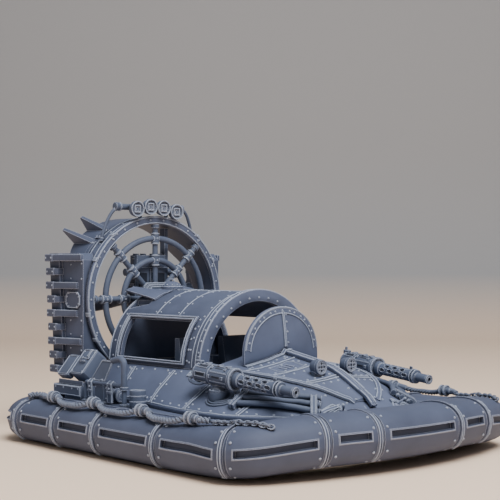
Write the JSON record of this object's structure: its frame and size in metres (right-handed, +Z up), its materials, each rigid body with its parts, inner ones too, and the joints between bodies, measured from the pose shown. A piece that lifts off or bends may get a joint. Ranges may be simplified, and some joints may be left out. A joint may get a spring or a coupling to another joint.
{
  "type": "tabletop model hovercraft",
  "caption": "Tabletop model of an armed hovercraft: inflated skirt, barrel-roofed cabin, twin swivel guns and a ducted fan.",
  "frame": {"origin": "on the table under the middle of the model's bounding box", "axes": "+X towards the bow, +Y to port, +Z up"},
  "size_m": [0.1498, 0.1208, 0.0822],
  "materials": {
    "skirt": "matt",
    "hull": "matt",
    "panels": "matt",
    "fittings": "matt",
    "stowage": "matt"
  },
  "bodies": {
    "hull_body": {"bar_lamp_1": "fittings", "bar_lamp_2": "fittings", "bar_lamp_3": "fittings", "bar_lamp_4": "fittings", "bedroll": "stowage", "cabin_arch": "panels", "cabin_bulkhead": "hull", "cabin_shell": "hull", "deck": "hull", "duct_rim": "panels", "duct_saddle": "hull", "engine": "fittings", "fan_duct": "hull", "fan_guard": "fittings", "fin_rack_port": "hull", "fin_rack_starboard": "hull", "foredeck": "panels", "grab_rope_port": "stowage", "grab_rope_starboard": "stowage", "gun_mount_port": "fittings", "gun_mount_starboard": "fittings", "headlamp_port": "fittings", "headlamp_starboard": "fittings", "hoses_port": "stowage", "hoses_starboard": "stowage", "hull": "hull", "lamp_bar": "fittings", "railing_port": "fittings", "railing_starboard": "fittings", "ridge_beam": "panels", "roof_hatch": "panels", "scoop_port": "panels", "scoop_starboard": "panels", "seat_port": "stowage", "seat_starboard": "stowage", "skirt": "skirt", "stowage_box": "stowage", "stowage_case": "stowage", "stowage_drum": "stowage", "window_frame_port": "panels", "window_frame_starboard": "panels", "windscreen": "panels"},
    "propeller": {"propeller": "fittings"},
    "gun_starboard": {"gun_starboard": "fittings"},
    "gun_port": {"gun_port": "fittings"}
  },
  "joints": [
    {"name": "propeller_spin", "type": "hinge", "parent": "hull_body", "child": "propeller", "pos_m": [-0.0632, 0, 0.0463], "axis": [1, 0, 0], "continuous": true},
    {"name": "gun_starboard_swivel", "type": "hinge", "parent": "hull_body", "child": "gun_starboard", "pos_m": [0.021, -0.0316, 0.0216], "axis": [0, 0, 1], "range_deg": [-40, 12]},
    {"name": "gun_port_swivel", "type": "hinge", "parent": "hull_body", "child": "gun_port", "pos_m": [0.021, 0.0316, 0.0216], "axis": [0, 0, 1], "range_deg": [-12, 40]}
  ]
}
